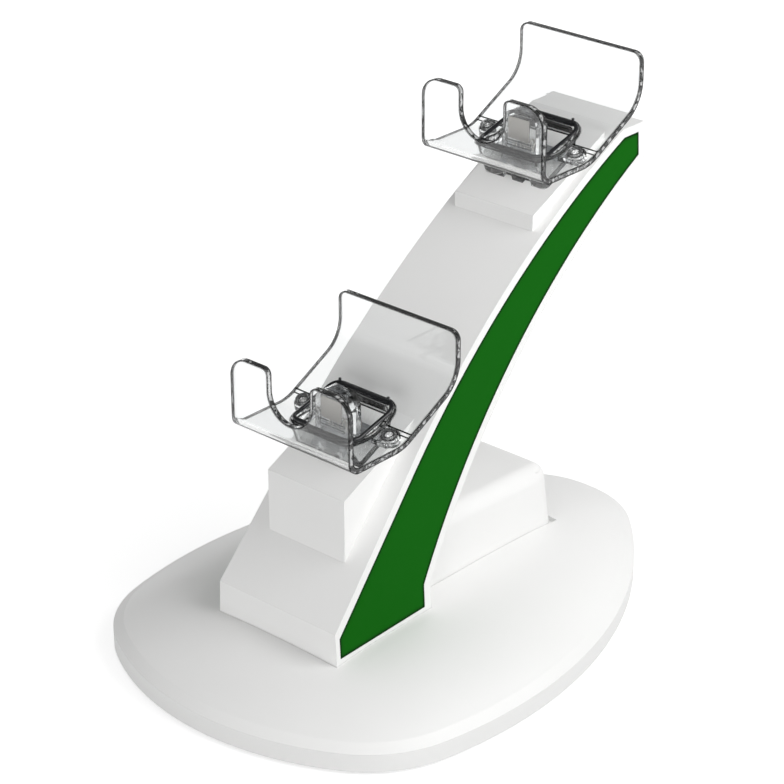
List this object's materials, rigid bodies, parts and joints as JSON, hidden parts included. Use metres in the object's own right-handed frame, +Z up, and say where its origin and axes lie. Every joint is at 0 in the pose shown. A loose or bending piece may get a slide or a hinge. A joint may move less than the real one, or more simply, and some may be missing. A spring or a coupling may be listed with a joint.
{
  "type": "controller charging dock",
  "caption": "Charging dock for game controllers: a curved arm with coloured sides leans back from an egg-shaped domed base and carries clear bent cradles, one above the other.",
  "frame": {"origin": "on the table, under the centre of the base", "axes": "+Z up, -Y towards the user, the low end of the arm in front; +X to the right side of the dock as seen from the front"},
  "size_m": [0.1742, 0.2368, 0.214],
  "materials": {
    "white_abs": "fine satin",
    "green_inlay": "smooth satin gloss",
    "clear_acrylic": "clear and polished",
    "clear_nylon": "natural",
    "contact_nickel": "fine brushed",
    "zinc_steel": "zinc plated",
    "grey_rubber": "matt",
    "board_laminate": "lacquered",
    "black_nylon": "matt"
  },
  "bodies": {
    "root": {"base_top_shell": "white_abs", "base_bottom_cover": "white_abs", "ballast_plate": "zinc_steel", "rubber_feet": "grey_rubber", "base_screws": "zinc_steel", "body_screws": "zinc_steel", "board_screws": "zinc_steel", "arm_screws": "zinc_steel", "arm_front_shell": "white_abs", "arm_rear_cover": "white_abs", "side_panel_left": "green_inlay", "side_panel_right": "green_inlay", "rear_housing": "white_abs", "main_board": "board_laminate", "power_inlet": "black_nylon", "lower_cradle": "clear_acrylic", "lower_connector_tub": "clear_acrylic", "lower_plug_carrier": "clear_acrylic", "lower_contact_board": "board_laminate", "lower_contact_plate": "contact_nickel", "lower_cradle_screws": "clear_nylon", "lower_tub_screws": "zinc_steel", "upper_cradle": "clear_acrylic", "upper_connector_tub": "clear_acrylic", "upper_plug_carrier": "clear_acrylic", "upper_contact_board": "board_laminate", "upper_contact_plate": "contact_nickel", "upper_cradle_screws": "clear_nylon", "upper_tub_screws": "zinc_steel"}
  },
  "joints": []
}
